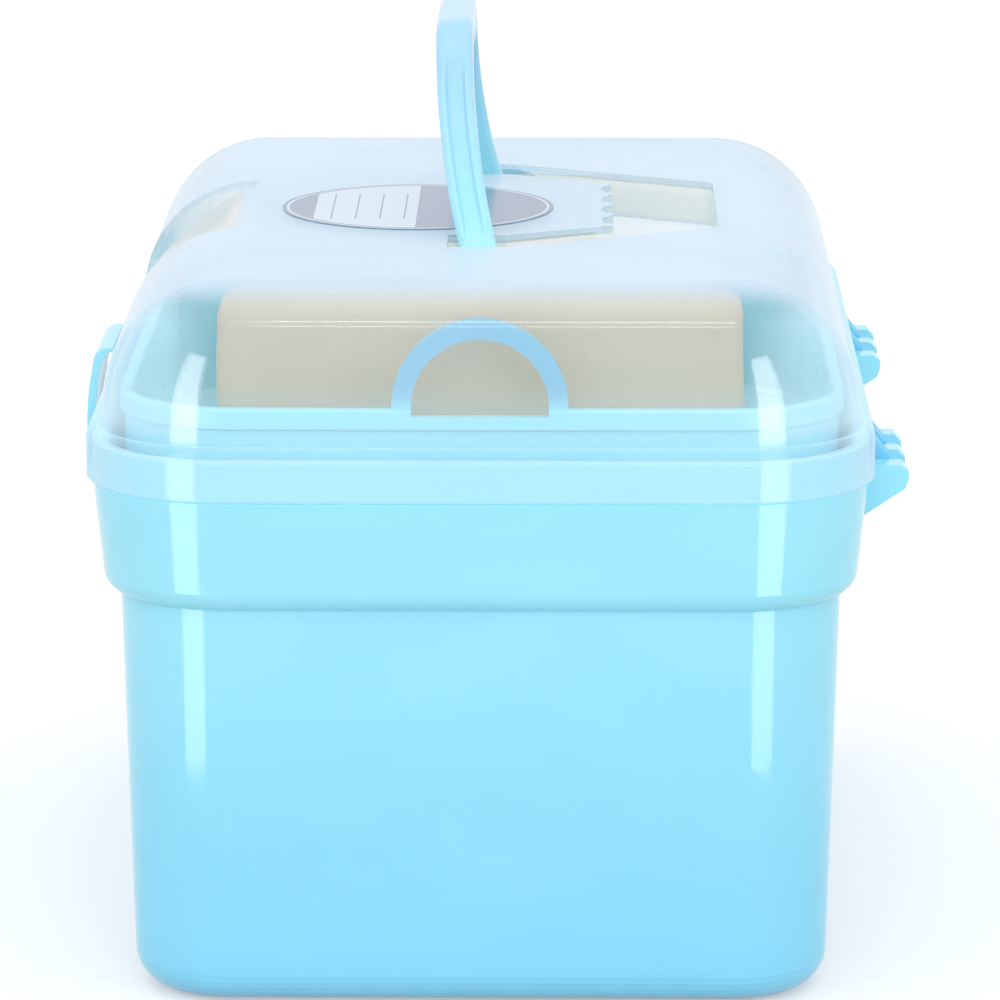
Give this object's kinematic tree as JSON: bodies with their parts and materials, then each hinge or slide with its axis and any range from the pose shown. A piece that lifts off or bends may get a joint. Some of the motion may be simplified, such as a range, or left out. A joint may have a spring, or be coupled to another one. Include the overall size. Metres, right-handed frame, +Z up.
{
  "type": "horse grooming box",
  "caption": "Carry box for horse grooming tools: blue plastic tub, clear hinged domed lid with folding handle in a well, front snap latch, lift-out inner tray.",
  "frame": {"origin": "middle of the flat bottom, on the floor", "axes": "+X along the box's length, -Y towards the latch at the front, +Y towards the hinges at the back, +Z up"},
  "size_m": [0.3, 0.2176, 0.2378],
  "materials": {
    "blue_plastic": "translucent light blue, satin gloss",
    "clear_plastic": "clear with a slight haze, glossy",
    "pin_steel": "plain drawn wire",
    "label_paper": "printed, matt",
    "sponge": "open foam, matt"
  },
  "bodies": {
    "base": {"base_tub": "blue_plastic", "hinge_pin_left": "pin_steel", "hinge_pin_right": "pin_steel", "latch_pin": "pin_steel"},
    "lid": {"lid": "clear_plastic", "name_label": "label_paper"},
    "handle": {"carry_handle": "blue_plastic"},
    "latch": {"front_latch": "blue_plastic"},
    "tray": {"inner_tray": "blue_plastic", "sponge_near": "sponge", "sponge_far": "sponge"}
  },
  "joints": [
    {"name": "lid_open", "type": "hinge", "parent": "base", "child": "lid", "pos_m": [0, 0.1053, 0.1282], "axis": [-1, 0, 0], "range_deg": [0, 105]},
    {"name": "handle_fold", "type": "hinge", "parent": "lid", "child": "handle", "pos_m": [0, 0, 0.1771], "axis": [-1, 0, 0], "range_deg": [0, 98]},
    {"name": "latch_flip", "type": "hinge", "parent": "base", "child": "latch", "pos_m": [0, -0.1045, 0.114], "axis": [1, 0, 0], "range_deg": [-1.8, 110]},
    {"name": "tray_lift", "type": "slide", "parent": "base", "child": "tray", "axis": [0, 0, 1], "range_m": [0, 0.003]}
  ]
}
